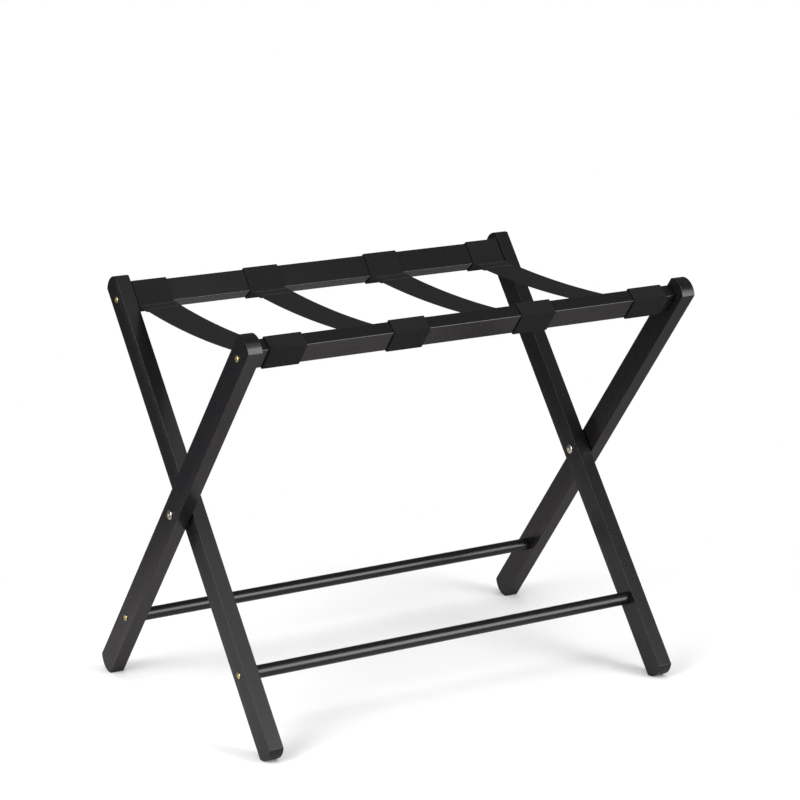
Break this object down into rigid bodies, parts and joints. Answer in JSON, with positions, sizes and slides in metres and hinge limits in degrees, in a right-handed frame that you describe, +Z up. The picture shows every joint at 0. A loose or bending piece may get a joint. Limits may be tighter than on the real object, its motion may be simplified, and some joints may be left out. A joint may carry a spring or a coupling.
{
  "type": "folding luggage rack",
  "caption": "Folding luggage rack: two crossed wooden frames turn on two pivots in line, joined across the top by webbing straps that hold a suitcase between the rails.",
  "frame": {"origin": "on the floor, under the middle of the open rack, midway between the four feet", "axes": "+Z up; +X along the rails and the pivot axis, towards the right-hand legs; +Y towards the inner frame's top rail"},
  "size_m": [0.6248, 0.4096, 0.5117],
  "materials": {
    "painted_wood": "satin black paint on smooth hardwood",
    "bare_wood": "unfinished beech",
    "brass_screw": "yellow-zinc plated, slightly worn",
    "nickel": "nickel plated, satin",
    "nylon": "matt black",
    "webbing": "ribbed black woven webbing"
  },
  "bodies": {
    "outer_frame": {"outer_leg_left": "painted_wood", "outer_leg_right": "painted_wood", "outer_top_rail": "painted_wood", "outer_stretcher": "painted_wood", "outer_rail_screw_left": "brass_screw", "outer_rail_screw_right": "brass_screw", "outer_stretcher_screw_left": "brass_screw", "outer_stretcher_screw_right": "brass_screw", "outer_rail_pin_left": "bare_wood", "outer_rail_pin_right": "bare_wood", "pivot_bolt_left": "nickel", "pivot_bolt_right": "nickel", "pivot_sleeve_left": "nickel", "pivot_sleeve_right": "nickel", "pivot_washer_left": "nylon", "pivot_washer_right": "nylon", "strap_1_front_loop": "webbing", "strap_2_front_loop": "webbing", "strap_3_front_loop": "webbing", "strap_4_front_loop": "webbing", "strap_1_span": "webbing", "strap_2_span": "webbing", "strap_3_span": "webbing", "strap_4_span": "webbing"},
    "inner_frame": {"inner_leg_left": "painted_wood", "inner_leg_right": "painted_wood", "inner_top_rail": "painted_wood", "inner_stretcher": "painted_wood", "inner_rail_screw_left": "brass_screw", "inner_rail_screw_right": "brass_screw", "inner_stretcher_screw_left": "brass_screw", "inner_stretcher_screw_right": "brass_screw", "inner_rail_pin_left": "bare_wood", "inner_rail_pin_right": "bare_wood", "strap_1_back_loop": "webbing", "strap_2_back_loop": "webbing", "strap_3_back_loop": "webbing", "strap_4_back_loop": "webbing"}
  },
  "joints": [
    {"name": "fold", "type": "hinge", "parent": "outer_frame", "child": "inner_frame", "pos_m": [0, 0, 0.25562], "axis": [1, 0, 0], "range_deg": [0, 69.4], "deforming": ["strap_1_span", "strap_2_span", "strap_3_span", "strap_4_span"]}
  ]
}
